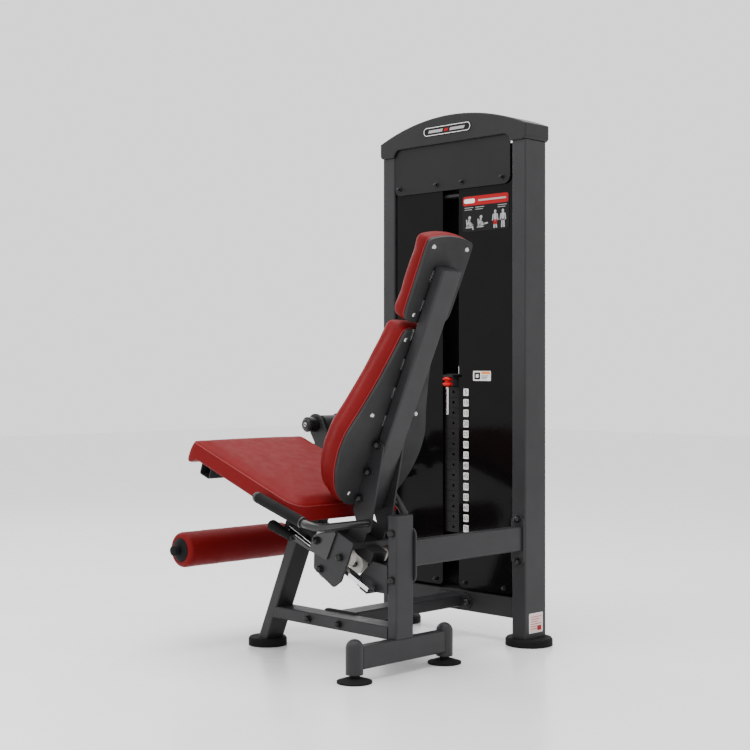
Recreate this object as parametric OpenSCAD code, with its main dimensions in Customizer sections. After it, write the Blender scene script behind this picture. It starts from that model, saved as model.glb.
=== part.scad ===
// Seated leg extension machine: a selector weight tower beside a tilted seat,
// with a backrest carriage on inclined rails and a knee lever with a roller pad.
// Millimetres. +X from the seat to the tower, +Y the way the sitter faces, +Z up.

/* [Tower] */
// Height of the tower posts under the arched cap
post_h = 1693; // [1500:1:1900]
// Post size across the tower
post_w = 111; // [90:1:130]
// Post size along the tower
post_d = 58; // [50:1:70]
// Length of the tower, outside to outside of its posts
tower_l = 667; // [600:1:760]
// Rise of the arch at the middle of the cap
arch_rise = 66; // [40:1:90]
// Diameter of the rubber feet under the posts
post_foot_d = 159; // [120:1:180]

/* [Weight stack] */
// Number of plates below the head plate
plate_count = 14; // [8:1:14]
// Thickness of one plate
plate_t = 35.6; // [25:0.1:36]
// Distance from one plate to the next
plate_pitch = 36.4; // [36.3:0.1:38]
// Plate size along the tower
plate_l = 380; // [320:1:400]
// Travel of the head plate
stack_travel = 267; // [200:1:267]

/* [Seat] */
// Distance from the middle of the seat to the tower's face
seat_offset = 565; // [540:1:620]
// Width of the seat pad
seat_w = 506; // [440:1:512]
// Length of the seat pad along its slope
seat_l = 572; // [520:1:572]
// Slope of the seat, front edge up
seat_slope = 19.8; // [18:0.1:21]
// Thickness of the seat cushion
cushion_t = 45; // [38:1:48]

/* [Backrest] */
// Lean of the back post from vertical
back_lean = 24.6; // [22:0.1:26]
// Slope of the carriage rails
rail_slope = 24; // [22:0.5:25]
// Diameter of the carriage rollers
roller_d = 62; // [50:1:64]

/* [Knee lever] */
// Distance from the knee axis to the shin roller's axle
lever_l = 412; // [360:1:430]
// Radius of the cable on the lever's sector
sector_r = 180; // [150:1:190]
// Diameter of the shin roller
shin_d = 118; // [90:1:130]
// Length of the shin roller
shin_l = 460; // [380:1:470]

/* [Tubes] */
// Long side of the frame tubes
tube_w = 76; // [70:1:80]
// Short side of the frame tubes
tube_t = 40; // [38:1:42]
// Wall thickness of the tubes
wall = 3; // [2:0.5:4]
// Thickness of the bolted flanges
flange_t = 6; // [5:1:8]

/* [Hidden] */
$fn = 48;
gap = 0.4;
// places of the two groups, so that the origin is under the middle of the machine
seat_x = -204;
base_y = -353.2;
tower_x = seat_x + seat_offset;
// tower
mid_x = post_w / 2;
mid_y = tower_l / 2;
post_foot_h = 25;
cross_z = 86;
cross_h = 72;
top_beam_z = post_h - 53;
top_beam_h = 50;
cap_over = 6;
arch_z = post_h + 56;
arch_top = arch_z + arch_rise;
arch_r = (pow(tower_l / 2, 2) + pow(arch_rise, 2)) / (2 * arch_rise);
skin = 4;
header_x = 3;
header_z = 1553;
shroud_x = 10;
shroud_z = 168;
slot_lo = 304;
slot_hi = 380;
inner_lo = post_d + 3;
inner_hi = tower_l - post_d - 0.5;
header_lo = post_d + 10;
// weight stack
stack_z = 355;
head_z = stack_z + plate_count * plate_pitch + 1.5;
head_h = 44;
plate_x = 22;
plate_depth = 66;
rod_r = 12;
rod_gap = 150;
rod_z = cross_z + cross_h;
rod_top = 1530;
stem_r = 11;
label_z = 373;
// cable and pulleys
cable_r = 3;
pulley_r = 38;
pulley_rim = 45;
pulley_w = 18;
axle_r = 6;
run_y = tower_l - 77;
top_pulley_z = top_beam_z - 55;
side_x = 470;
// knee axis
knee_y = 775;
knee_z = 728;
entry_z = knee_z - sector_r;
lever_lean = atan((835 - knee_y) / 408);
shin_y = knee_y + lever_l * sin(lever_lean);
shin_z = knee_z - lever_l * cos(lever_lean);
shaft_r = 15;
housing_r = 27;
// seat frame
leg_lean = 24;
leg_foot_y = 643;
beam_z = 101;
beam_h = 40;
post_y = 10;
post_top = 478;
stab_z = 37;
stab_h = 68;
stab_foot_x = 197;
stab_y = 28;
upper_z = 321;
upper_h = 80;
flange_l = 173;
flange_w = 54;
bolt_gap = 142;
lower_y = 335;
// seat pad datum: top of the front edge
seat_front_y = 735;
seat_front_z = 690;
board_t = 15;
// rail datum
rail_x = 70;
rail_y = 283;
rail_z = 341;
rail_w = 30;
rail_t = 14;
rail_front = 185;
rail_rear = -215;
roller_n = rail_t / 2 + roller_d / 2 + gap;
roller_s = [30.5, -79, -15];
roller_side = [1, 1, -1];
roller_w = 24;
cheek_x = 40;
side_plate_x = 91;
lever_t = 6;
// back post datum: bottom of its rear face
back_y = 143.8;
back_z = 490;
back_l = 796;
back_t = 38;
board_n = back_t + 6;
// colours
frame_c = [0.27, 0.27, 0.28];
black_c = [0.08, 0.08, 0.08];
steel_c = [0.75, 0.75, 0.77];
red_c = [0.62, 0.18, 0.19];
white_c = [0.9, 0.9, 0.88];

// ---------- helpers ----------
module in_seat() translate([seat_x, base_y, 0]) children();
module in_tower() translate([tower_x, base_y, 0]) children();
// frame with its origin at y, z and its y axis rising by a degrees
module sloped(y, z, a) translate([0, y, z]) rotate([a, 0, 0]) children();
module on_seat() sloped(seat_front_y, seat_front_z, seat_slope) children();
module on_rail() sloped(rail_y, rail_z, rail_slope) children();
// frame of the back post: x across, y forward from its rear face, z up the post
module on_back() sloped(back_y, back_z, back_lean) children();

module rrect(w, h, r) {
  square([w - 2 * r, h], center = true);
  square([w, h - 2 * r], center = true);
  for (sx = [-1, 1], sy = [-1, 1])
    translate([sx * (w / 2 - r), sy * (h / 2 - r)]) circle(r);
}
module tube_shape(w, h, r = 6) {
  difference() {
    rrect(w, h, r);
    rrect(w - 2 * wall, h - 2 * wall, r - wall);
  }
}
module stadium(l, w) {
  square([l - w, w], center = true);
  for (s = [-1, 1]) translate([s * (l - w) / 2, 0]) circle(w / 2);
}
// cylinder along X from x0 to x1
module rod_x(x0, x1, r) translate([x0, 0, 0]) rotate([0, 90, 0]) cylinder(h = x1 - x0, r = r);
module ring_x(x0, x1, ro, ri) {
  difference() {
    rod_x(x0, x1, ro);
    rod_x(x0 - 1, x1 + 1, ri);
  }
}
// cylinder along Y from y0 to y1
module rod_y(y0, y1, r) translate([0, y0, 0]) rotate([-90, 0, 0]) cylinder(h = y1 - y0, r = r);
// profile drawn in y, z and extruded along X from x0 by t
module plate_x(x0, t) translate([x0, 0, 0]) rotate([90, 0, 90]) linear_extrude(t) children();
// profile drawn in x, z and extruded along Y from y0 by t
module plate_y(y0, t) translate([0, y0 + t, 0]) rotate([90, 0, 0]) linear_extrude(t) children();
// domed bolt cover with its washer, pointing along +Z
module dome_bolt(r = 11) {
  cylinder(h = 2.5, r = r + 3);
  translate([0, 0, 2.5]) cylinder(h = 5, r = r);
  translate([0, 0, 7.5]) intersection() {
    sphere(r);
    translate([0, 0, r / 2]) cube([3 * r, 3 * r, r], center = true);
  }
}
module bolt_x(side, r = 11) rotate([0, side * 90, 0]) dome_bolt(r);

// ---------- tower ----------
module tower_post(y) {
  difference() {
    translate([mid_x, y + post_d / 2, post_foot_h])
      linear_extrude(post_h - post_foot_h) tube_shape(post_w, post_d);
    for (z = [upper_z + upper_h / 2 - 6 - bolt_gap / 2, upper_z + upper_h / 2 - 6 + bolt_gap / 2])
      translate([0, post_y + 19, z]) rod_x(-1, post_w + 1, 6);
  }
}
module tower_post_rear() color(frame_c) in_tower() tower_post(0);
module tower_post_front() {
  color(frame_c) in_tower()
    translate([mid_x, tower_l - post_d / 2, post_foot_h])
      linear_extrude(post_h - post_foot_h) tube_shape(post_w, post_d);
}
module tower_cross_tube(z, h) {
  translate([mid_x, post_d, z + h / 2]) rotate([-90, 0, 0])
    linear_extrude(tower_l - 2 * post_d) tube_shape(tube_w, h);
}
module tower_cross_tubes() {
  color(frame_c) in_tower() {
    tower_cross_tube(cross_z, cross_h);
    tower_cross_tube(top_beam_z, top_beam_h);
  }
}
module foot_disc(r, h) {
  cylinder(h = h - 6, r = r);
  translate([0, 0, h - 6]) cylinder(h = 6, r1 = r, r2 = r - 4);
}
module rubber_feet() {
  color(black_c) in_tower()
    for (y = [post_d / 2, tower_l - post_d / 2])
      translate([mid_x, y, 0]) foot_disc(post_foot_d / 2, post_foot_h);
  color(black_c) in_seat() difference() {
    translate([0, leg_foot_y + 10, 0]) foot_disc(64.5, 27);
    difference() {
      leg_solid(tube_w, 41, 6);
      translate([-200, 0, -300]) cube([400, 1200, 312]);
    }
  }
}
module cap_side() {
  intersection() {
    translate([mid_y, arch_top - arch_r]) circle(arch_r, $fn = 180);
    translate([mid_y, post_h + 75]) rrect(tower_l + 2 * cap_over, 150, 14);
    translate([-50, post_h]) square([tower_l + 100, 200]);
  }
}
module cap_opening() {
  translate([mid_y, post_h - 33]) rrect(tower_l - 2 * post_d - 6, 120, 30);
}
module tower_cap() {
  color(frame_c) in_tower() difference() {
    plate_x(-cap_over, post_w + 2 * cap_over) difference() {
      cap_side();
      cap_opening();
    }
    plate_x(0, post_w) intersection() {
      translate([mid_y, arch_top - arch_r - skin]) circle(arch_r - skin, $fn = 180);
      translate([post_d + 30, post_h + 10]) square([tower_l - 2 * post_d - 60, 200]);
    }
    // the header panel slides up into this slot
    plate_x(header_x - 0.2, skin + 0.4)
      translate([header_lo - 0.2, post_h - 20]) square([inner_hi - header_lo + 0.4, 60.2]);
  }
}
module cap_badge() {
  color(black_c) in_tower() plate_x(-cap_over - 2, 2)
    translate([mid_y + 12, arch_top - 50]) stadium(222, 32);
}
module header_panel() {
  color(black_c) in_tower() plate_x(header_x, skin) {
    translate([header_lo, header_z + 30]) square([inner_hi - header_lo, 150]);
    translate([(header_lo + inner_hi) / 2, header_z + 40]) rrect(inner_hi - header_lo, 80, 28);
  }
}
module shroud(y0, y1, flange_y) {
  plate_x(shroud_x, skin)
    translate([(y0 + y1) / 2, (shroud_z + top_beam_z) / 2])
      rrect(y1 - y0, top_beam_z - shroud_z, 18);
  translate([shroud_x + skin, flange_y, shroud_z + 20]) cube([6, skin, top_beam_z - shroud_z - 40]);
}
module front_shrouds() {
  color(black_c) in_tower() {
    difference() {
      shroud(slot_hi, inner_hi, slot_hi);
      translate([0, run_y - 16, entry_z - 16]) cube([60, 40, 115]);
    }
    shroud(inner_lo, slot_lo, slot_lo - skin);
  }
}
module rear_shroud() {
  color(black_c) in_tower() plate_x(post_w - 14, skin)
    translate([mid_y, (shroud_z + top_beam_z) / 2 - 30])
      rrect(tower_l - 2 * post_d - 6, top_beam_z - shroud_z + 60, 18);
}
module plate_labels() {
  color(white_c) in_tower()
    for (i = [0:plate_count - 1])
      plate_x(shroud_x - 0.8, 0.8)
        translate([slot_lo - 33, label_z + i * plate_pitch]) rrect(23, 25, 3);
}
module guide_placard() {
  color(black_c) in_tower() plate_x(shroud_x - 1, 1) translate([182, 1463]) rrect(209, 124, 12);
}
module notice_sticker() {
  color(white_c) in_tower() {
    plate_x(shroud_x - 0.8, 0.8) translate([198, 903]) rrect(80, 34, 3);
    plate_y(-0.8, 0.8) translate([56, 76]) rrect(72, 66, 3);
  }
}

// ---------- weight stack ----------
module rods_xy() for (s = [-1, 1]) translate([mid_x, mid_y + s * rod_gap, 0]) children();
module guide_rods() {
  color(steel_c) in_tower() rods_xy()
    translate([0, 0, rod_z]) cylinder(h = rod_top - rod_z, r = rod_r);
}
module stack_buffers() {
  color(black_c) in_tower() rods_xy() translate([0, 0, rod_z]) difference() {
    union() {
      cylinder(h = stack_z - rod_z - 30, r = 20);
      translate([0, 0, stack_z - rod_z - 30]) cylinder(h = 30, r = 28);
    }
    translate([0, 0, -1]) cylinder(h = 300, r = rod_r);
  }
}
module plate_block(h) {
  difference() {
    translate([plate_x, mid_y - plate_l / 2, 0]) cube([plate_depth, plate_l, h]);
    rods_xy() translate([0, 0, -1]) cylinder(h = h + 2, r = rod_r + 4);
    translate([mid_x, mid_y, -1]) cylinder(h = h + 2, r = stem_r + 2);
    translate([plate_x - 1, mid_y + 7, h / 2]) rod_x(0, plate_depth / 2, 5);
  }
}
module weight_plates() {
  color(black_c) in_tower()
    for (i = [0:plate_count - 1]) translate([0, 0, stack_z + i * plate_pitch]) plate_block(plate_t);
}
module head_plate() {
  color(black_c) in_tower() translate([0, 0, head_z]) difference() {
    union() {
      translate([plate_x, mid_y - plate_l / 2, 0]) cube([plate_depth, plate_l, head_h]);
      translate([-14, mid_y - 22, 32.3]) cube([plate_x + 14, 46, 8]);
    }
    rods_xy() translate([0, 0, -1]) cylinder(h = head_h + 2, r = rod_r + 4);
    translate([mid_x, mid_y, -1]) cylinder(h = head_h + 2, r = stem_r);
  }
}
module head_bushes() {
  color(white_c) in_tower() rods_xy() translate([0, 0, head_z]) difference() {
    cylinder(h = head_h, r = rod_r + 4);
    translate([0, 0, -1]) cylinder(h = head_h + 2, r = rod_r + 0.08);
  }
}
module selector_stem() {
  color(steel_c) in_tower() translate([mid_x, mid_y, stack_z + 8]) {
    cylinder(h = head_z + head_h - stack_z - 8, r = stem_r);
    translate([0, 0, head_z + head_h - stack_z - 8]) cylinder(h = 26, r = 13);
    translate([0, 0, head_z + head_h - stack_z + 18]) cylinder(h = 16, r1 = 9, r2 = 5);
  }
}
// stowed pin: it hangs from the magnet lip of the head plate
module selector_pin() {
  color("red") in_tower() translate([-7, mid_y + 8, head_z + 17]) {
    rotate_extrude() polygon([
      [0, -16], [13, -16], [18, -10], [17, -5], [9, -1], [9, 2], [17, 6], [18, 10], [12, 15], [0, 15]
    ]);
    translate([0, 0, -114]) cylinder(h = 98, r = 4.5);
  }
}

// ---------- cable and pulleys ----------
module pulley() {
  rotate_extrude() difference() {
    translate([axle_r + 0.08, -pulley_w / 2]) square([pulley_rim - axle_r - 0.08, pulley_w]);
    translate([pulley_rim, 0]) polygon([[1, -6], [-7, -3.6], [-10.1, -2], [-10.1, 2], [-7, 3.6], [1, 6]]);
  }
}
module lift_cable_drop() {
  z0 = head_z + head_h + 42.3;
  color(black_c) in_tower() translate([mid_x, mid_y, z0]) cylinder(h = top_pulley_z - z0, r = cable_r);
}
module quarter_bend(r) rotate_extrude(angle = 90) translate([r, 0]) circle(cable_r);
module lift_cable_run() {
  color(black_c) in_tower() {
    // over the two top pulleys
    translate([mid_x, mid_y + pulley_r, top_pulley_z]) rotate([90, 0, 90])
      rotate([0, 0, 90]) quarter_bend(pulley_r);
    translate([mid_x, mid_y + pulley_r, top_pulley_z + pulley_r])
      rod_y(0, run_y - mid_y - 2 * pulley_r, cable_r);
    translate([mid_x, run_y - pulley_r, top_pulley_z]) rotate([90, 0, 90]) quarter_bend(pulley_r);
    // down the inside of the front post
    translate([mid_x, run_y, entry_z + pulley_r])
      cylinder(h = top_pulley_z - entry_z - pulley_r, r = cable_r);
    // round the entry pulley towards the seat
    translate([mid_x - pulley_r, run_y, entry_z + pulley_r]) rotate([90, 0, 0])
      rotate([0, 0, -90]) quarter_bend(pulley_r);
  }
  // round the side pulley to the lever's sector
  color(black_c) in_seat() {
    translate([side_x + pulley_r, run_y, entry_z])
      rod_x(0, seat_offset + mid_x - 2 * pulley_r - side_x, cable_r);
    translate([side_x + pulley_r, run_y + pulley_r, entry_z]) rotate([0, 0, 180]) quarter_bend(pulley_r);
    translate([side_x, run_y + pulley_r, entry_z]) rod_y(0, knee_y - run_y - pulley_r - 1, cable_r);
  }
}
module top_hangers() {
  color(frame_c) in_tower() for (y = [mid_y + pulley_r, run_y - pulley_r]) {
    for (x = [mid_x - 18, mid_x + 12])
      translate([x, y - 20, top_pulley_z - 22]) difference() {
        cube([6, 40, top_beam_z - top_pulley_z + 22]);
        translate([0, 20, 22]) rod_x(-1, 7, axle_r);
      }
    translate([0, y, top_pulley_z]) rod_x(mid_x - 24, mid_x + 24, axle_r);
  }
  // bar over the guide rods' upper ends
  color(frame_c) in_tower() difference() {
    translate([mid_x - 32, post_d, rod_top]) cube([64, tower_l - 2 * post_d, 10]);
    translate([mid_x, mid_y, rod_top - 1]) cylinder(h = 12, r = 10);
    translate([mid_x, run_y, rod_top - 1]) cylinder(h = 12, r = 7);
  }
}
module top_pulley(y) in_tower() translate([mid_x, y, top_pulley_z]) rotate([0, 90, 0]) pulley();
module top_pulley_outer() color(black_c) top_pulley(run_y - pulley_r);
module top_pulley_inner() color(black_c) top_pulley(mid_y + pulley_r);
module entry_pulley() {
  color(black_c) in_tower() translate([mid_x - pulley_r, run_y, entry_z + pulley_r])
    rotate([90, 0, 0]) pulley();
}
module pulley_brackets() {
  color(frame_c) in_tower() translate([mid_x - pulley_r, 0, entry_z + pulley_r]) {
    difference() {
      translate([-1, run_y + 10, -18]) cube([36, 6, 36]);
      rod_y(run_y, run_y + 20, axle_r);
    }
    rod_y(run_y - 12, tower_l - post_d, axle_r);
    translate([28, run_y + 16, -18]) cube([7, tower_l - post_d - run_y - 16, 36]);
  }
  side_pulley_bracket();
}
module side_pulley() {
  color(black_c) in_seat() translate([side_x + pulley_r, run_y + pulley_r, entry_z]) pulley();
}
module side_pulley_bracket() {
  y = run_y + pulley_r;
  color(frame_c) in_seat() {
    for (z = [entry_z - 18, entry_z + 12]) difference() {
      translate([side_x + pulley_r - 22, y - 18, z]) cube([seat_offset - 6 - side_x - pulley_r + 22, 40, 6]);
      translate([side_x + pulley_r, y, z - 1]) cylinder(h = 8, r = axle_r);
    }
    translate([seat_offset - 6, y - 18, entry_z - 50]) cube([6, 56, 100]);
    translate([side_x + pulley_r, y, entry_z - 24]) cylinder(h = 48, r = axle_r);
  }
}

// ---------- beams between the seat and the tower ----------
upper_mid = upper_z + upper_h / 2 - 6;
module flange_bolt_holes(y, z, along_y) {
  for (s = [-1, 1])
    translate([0, y + (along_y ? s * bolt_gap / 2 : 0), z + (along_y ? 0 : s * bolt_gap / 2)])
      rod_x(-60, 700, 6);
}
module upper_beam() {
  color(frame_c) in_seat() {
    translate([tube_w / 2 + flange_t, stab_y + 1, upper_z + upper_h / 2]) rotate([90, 0, 90])
      linear_extrude(seat_offset - tube_w / 2 - 2 * flange_t) tube_shape(tube_t, upper_h);
  }
}
lower_mid = beam_z + beam_h / 2;
cross_face = seat_offset + (post_w - tube_w) / 2;
module lower_beam() {
  color(frame_c) in_seat() {
    translate([tube_w / 2 + flange_t, lower_y, lower_mid]) rotate([90, 0, 90])
      linear_extrude(cross_face - tube_w / 2 - 2 * flange_t) tube_shape(80, tube_t);
  }
}
module beam_flanges() {
  color(frame_c) in_seat() difference() {
    union() {
      for (x = [tube_w / 2, seat_offset - flange_t])
        plate_x(x, flange_t) translate([stab_y + 1, upper_mid]) rotate(90) stadium(flange_l, flange_w);
      for (x = [tube_w / 2, cross_face - flange_t])
        plate_x(x, flange_t) translate([lower_y, lower_mid]) stadium(flange_l, flange_w);
    }
    flange_bolt_holes(stab_y + 1, upper_mid, false);
    flange_bolt_holes(lower_y, lower_mid, true);
  }
}
// domed covers and shanks of the four flange joints
module flange_joint(y, z, along_y, x0, x1) {
  for (s = [-1, 1])
    translate([0, y + (along_y ? s * bolt_gap / 2 : 0), z + (along_y ? 0 : s * bolt_gap / 2)]) {
      translate([x0, 0, 0]) bolt_x(-1);
      translate([x1, 0, 0]) bolt_x(1);
      rod_x(x0, x1, 5.9);
    }
}
module beam_bolts() {
  color(black_c) in_seat() {
    flange_joint(stab_y + 1, upper_mid, false, -tube_w / 2, tube_w / 2 + flange_t);
    flange_joint(stab_y + 1, upper_mid, false, seat_offset - flange_t, seat_offset + post_w);
    flange_joint(lower_y, lower_mid, true, -tube_w / 2, tube_w / 2 + flange_t);
    for (s = [-1, 1])
      translate([cross_face - flange_t, lower_y + s * bolt_gap / 2, lower_mid]) bolt_x(-1);
    // end of the near rail bracket
    translate([-38, 160, 265]) bolt_x(-1, 9);
  }
}
module panel_bolts() {
  color(black_c) in_tower() {
    for (y = [103, 284, 404, 585]) translate([header_x, y, header_z + 24]) bolt_x(-1, 6);
    for (y = [100, 276, 413]) translate([shroud_x, y, shroud_z + 17]) bolt_x(-1, 6);
  }
}

// ---------- seat frame ----------
module rear_post() {
  color(frame_c) in_seat() difference() {
    union() {
      translate([0, post_y + 19.5, stab_z + stab_h])
        linear_extrude(post_top - stab_z - stab_h) tube_shape(tube_w, 39);
      translate([0, post_y + 19.5, post_top]) linear_extrude(2) rrect(tube_w, 39, 6);
    }
    flange_bolt_holes(stab_y + 1, upper_mid, false);
  }
}
module stabilizer() {
  color(frame_c) in_seat() difference() {
    translate([-stab_foot_x, stab_y, stab_z + stab_h / 2]) rotate([90, 0, 90])
      linear_extrude(2 * stab_foot_x) tube_shape(tube_t, stab_h);
    for (s = [-1, 1]) translate([s * stab_foot_x, stab_y, 0]) cylinder(h = 200, r = 26.5);
  }
}
module stabilizer_posts() {
  color(frame_c) in_seat() for (s = [-1, 1]) translate([s * stab_foot_x, stab_y, 24]) {
    cylinder(h = 78, r = 26.5);
    translate([0, 0, 78]) intersection() {
      sphere(26.5);
      cylinder(h = 30, r = 30);
    }
  }
}
module levelling_feet() {
  color(black_c) in_seat() for (s = [-1, 1]) translate([s * stab_foot_x, stab_y, 0]) {
    cylinder(h = 5, r = 53);
    translate([0, 0, 5]) cylinder(h = 9, r1 = 52, r2 = 26);
    translate([0, 0, 14]) cylinder(h = 10, r = 15);
  }
}
module leg_solid(w, t, r) {
  translate([0, leg_foot_y, 14]) rotate([leg_lean, 0, 0])
    translate([0, 0, -60]) linear_extrude(700) rrect(w, t, r);
}
// room above the underside of the seat frame's long tube
module above_seat_frame() on_seat() translate([-200, -900, -100]) cube([400, 1200, 400]);
module front_leg() {
  color(frame_c) in_seat() difference() {
    leg_solid(tube_w, 41, 6);
    leg_solid(tube_w - 2 * wall, 41 - 2 * wall, 3);
    translate([-200, 0, -200]) cube([400, 1200, 212]);
    above_seat_frame();
    translate([-50, 568, 292]) rod_x(0, 30, 6);
  }
}
module side_beam() {
  color(frame_c) in_seat() difference() {
    translate([0, post_y + 39, lower_mid]) rotate([-90, 0, 0])
      linear_extrude(600) tube_shape(tube_w, tube_t);
    leg_solid(tube_w + 1, 41, 6);
    translate([-200, leg_foot_y - 40, 0]) cube([400, 600, 300]);
    flange_bolt_holes(lower_y, lower_mid, true);
  }
}
// long tube under the pad, cross tube at the front and the knee brackets
cross_y0 = -95;
cross_l = 52;
bracket_x = [326, 436];
module seat_frame() {
  color(frame_c) in_seat() {
    on_seat() {
      translate([0, -430, -80]) rotate([-90, 0, 0])
        linear_extrude(cross_y0 + 430) tube_shape(tube_w, tube_t);
      // feet under the seat board
      for (y = [-400, -190], s = [-1, 1])
        translate([s * 88 - 50, y, -64]) cube([100, 40, 4]);
    }
  }
}
module seat_cross_tube() {
  color(frame_c) in_seat() on_seat()
    translate([-230, cross_y0 + cross_l / 2, -79]) rotate([90, 0, 90])
      linear_extrude(230 + bracket_x[1] + 8) tube_shape(cross_l, 38);
}
module knee_brackets() color(frame_c) in_seat() for (x = bracket_x) knee_bracket(x);
module knee_bracket(x) {
  difference() {
    plate_x(x, 8) difference() {
      hull() {
        translate([knee_y, knee_z]) circle(38, $fn = 40);
        translate([seat_front_y - 62, seat_front_z - 118]) circle(22, $fn = 40);
        translate([seat_front_y - 20, seat_front_z - 96]) circle(14, $fn = 40);
      }
      translate([knee_y, knee_z]) circle(housing_r);
    }
    on_seat() translate([x - 1, cross_y0 - 0.05, -98.05]) cube([10, cross_l + 0.1, 38.1]);
  }
}
module seat_outline(w, l, rf, rr) {
  hull() {
    for (s = [-1, 1]) {
      translate([s * (w / 2 - rf), -rf + 28]) circle(rf, $fn = 32);
      translate([s * (w / 2 - rr), -l + 28 + rr]) circle(rr, $fn = 32);
    }
  }
}
module seat_pad() {
  color(red_c) in_seat() on_seat() {
    translate([0, 0, -cushion_t - board_t]) linear_extrude(cushion_t + board_t) seat_outline(seat_w, seat_l, 12, 60);
    // the front edge rolls down over the board
    translate([-seat_w / 2 + 8, -8, -cushion_t - board_t - 18]) cube([seat_w - 16, 34, 40]);
  }
}

// ---------- backrest carriage ----------
module carriage_rails() {
  color(steel_c) in_seat() on_rail() for (s = [-1, 1])
    translate([s * rail_x, rail_rear, 0]) rotate([-90, 0, 0])
      linear_extrude(rail_front - rail_rear) rrect(rail_w, rail_t, 2);
}
module rail_brackets() {
  color(frame_c) in_seat() {
    // rear: gussets from the rear post to the rails' lower ends
    for (s = [-1, 1]) {
      plate_x(s > 0 ? 32 : -38, 6) polygon([[49, 240], [49, 326], [112, 334], [186, 272], [182, 254], [150, 242]]);
      on_rail() translate([s > 0 ? 38.05 : -85.05, rail_rear, -13]) cube([47, 34, 6]);
    }
    // front: cross bar under the rails, fixed through the front leg's rear face
    on_rail() difference() {
      translate([-90, rail_front - 34, -13]) cube([180, 26, 6]);
      translate([-39, rail_front - 60, -20]) cube([78, 100, 40]);
    }
    on_rail() for (s = [-1, 1]) {
      translate([s > 0 ? 38 : -44, rail_front - 40, -34]) cube([6, 46, 20.95]);
      translate([s * rail_x - 17, rail_front, -14]) cube([34, 16, 30]);
    }
  }
}
module side_plate(x) {
  difference() {
    plate_x(x, 6) hull() {
      translate([-22, 95]) circle(8, $fn = 32);
      translate([-106, 98]) circle(8, $fn = 32);
      translate([-104, -26]) circle(8, $fn = 32);
      translate([-84, -50]) circle(12, $fn = 32);
      translate([5, -42]) circle(12, $fn = 32);
      translate([30, 40]) circle(20, $fn = 32);
    }
    for (i = [0:2]) translate([0, roller_s[i], roller_side[i] * roller_n]) rod_x(x - 1, x + 7, axle_r);
  }
}
module carriage_plates() {
  color(frame_c) in_seat() on_rail() {
    side_plate(-side_plate_x - 6);
    side_plate(side_plate_x);
  }
}
module carriage_bridge() {
  color(frame_c) in_seat() {
    on_rail() {
      // bridge over both rails
      translate([-side_plate_x, -112, 84]) cube([2 * side_plate_x, 92, 6]);
      translate([-side_plate_x, -112, 90]) cube([2 * side_plate_x, 6, 14]);
      translate([-side_plate_x, -26, 90]) cube([2 * side_plate_x, 6, 14]);
      // latch housing under the bridge
      translate([-30, -146, 44]) cube([60, 126, 40]);
    }
    // buffer tube beside the far cheek
    translate([cheek_x + 6, 0, 0]) {
      translate([0, 118, 508]) rotate([0, 90, 0]) cylinder(h = 22, r = 8);
      translate([34, 90, 476]) rotate([-40, 0, 0]) cylinder(h = 98, r = 12);
      translate([34, 90, 476]) sphere(12);
    }
  }
}
// cheek plates from the bridge up both sides of the back post
module cheek_plates() color(frame_c) in_seat() for (s = [-1, 1]) cheek(s > 0 ? cheek_x : -cheek_x - 6);
module cheek(x) {
  difference() {
    plate_x(x, 6) hull() {
      translate([182, 497]) circle(12, $fn = 32);
      translate([160, 445]) circle(12, $fn = 32);
      translate([130, 436]) circle(16, $fn = 32);
      translate([106, 700]) circle(18, $fn = 32);
      translate([70, 690]) circle(12, $fn = 32);
    }
    on_rail() translate([x - 1, -300, -200]) cube([8, 500, 290]);
    // clear of the pad's board
    on_back() translate([x - 1, board_n - gap, -60]) cube([8, 90, 400]);
  }
  on_rail() translate([x, -104, 90]) cube([6, 72, 46]);
}
// the release lever turns on the near end of the front axle
function axle_end(i, s) = side_plate_x + 6 + (i == 0 && s < 0 ? lever_t + 2 * gap : 0);
module carriage_axles() {
  color(black_c) in_seat() {
    on_rail() for (i = [0:2], s = [-1, 1]) translate([0, roller_s[i], roller_side[i] * roller_n]) {
      rod_x(s > 0 ? 52 : -axle_end(i, s), s > 0 ? axle_end(i, s) : -52, axle_r - 0.05);
      translate([s * 52, 0, 0]) rod_x(s > 0 ? -4 : 0, s > 0 ? 0 : 4, 10);
      translate([s * axle_end(i, s), 0, 0]) bolt_x(s);
    }
    for (p = [[82.5, 694], [121, 609.5], [159, 526]], s = [-1, 1])
      translate([s * (cheek_x + 6), p[0], p[1]]) bolt_x(s);
  }
}
module roller_pair(i) {
  in_seat() on_rail() for (s = [-1, 1])
    translate([s * rail_x, roller_s[i], roller_side[i] * roller_n])
      ring_x(-roller_w / 2, roller_w / 2, roller_d / 2, axle_r + 0.05);
}
module front_rollers() color(white_c) roller_pair(0);
module rear_rollers() color(white_c) roller_pair(1);
module lower_rollers() color(white_c) roller_pair(2);
// lever plate, flat rod and tapered grip, turning on the front roller's axle
module release_lever() {
  color(frame_c) in_seat() on_rail() translate([-side_plate_x - 6, roller_s[0], roller_n]) {
    difference() {
      plate_x(-lever_t - gap, lever_t) hull() {
        circle(20, $fn = 32);
        translate([-62, 58]) circle(5, $fn = 32);
        translate([-58, -30]) circle(5, $fn = 32);
        translate([16, -42]) circle(4, $fn = 32);
      }
      rod_x(-8, 1, axle_r + 0.04);
    }
    translate([-lever_t - gap, 10, -46]) rotate([-5, 0, 0]) cube([lever_t, 96, 9]);
    translate([-11, 100, -50]) rotate([-95, 0, 0]) translate([0, -4.5, 0]) {
      cylinder(h = 8, r1 = 9, r2 = 12);
      translate([0, 0, 8]) cylinder(h = 92, r1 = 12, r2 = 17);
      translate([0, 0, 100]) sphere(17);
    }
  }
}
handle_slope = 16.7;
handle_bend = 45;
handle_x = -272;
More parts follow.
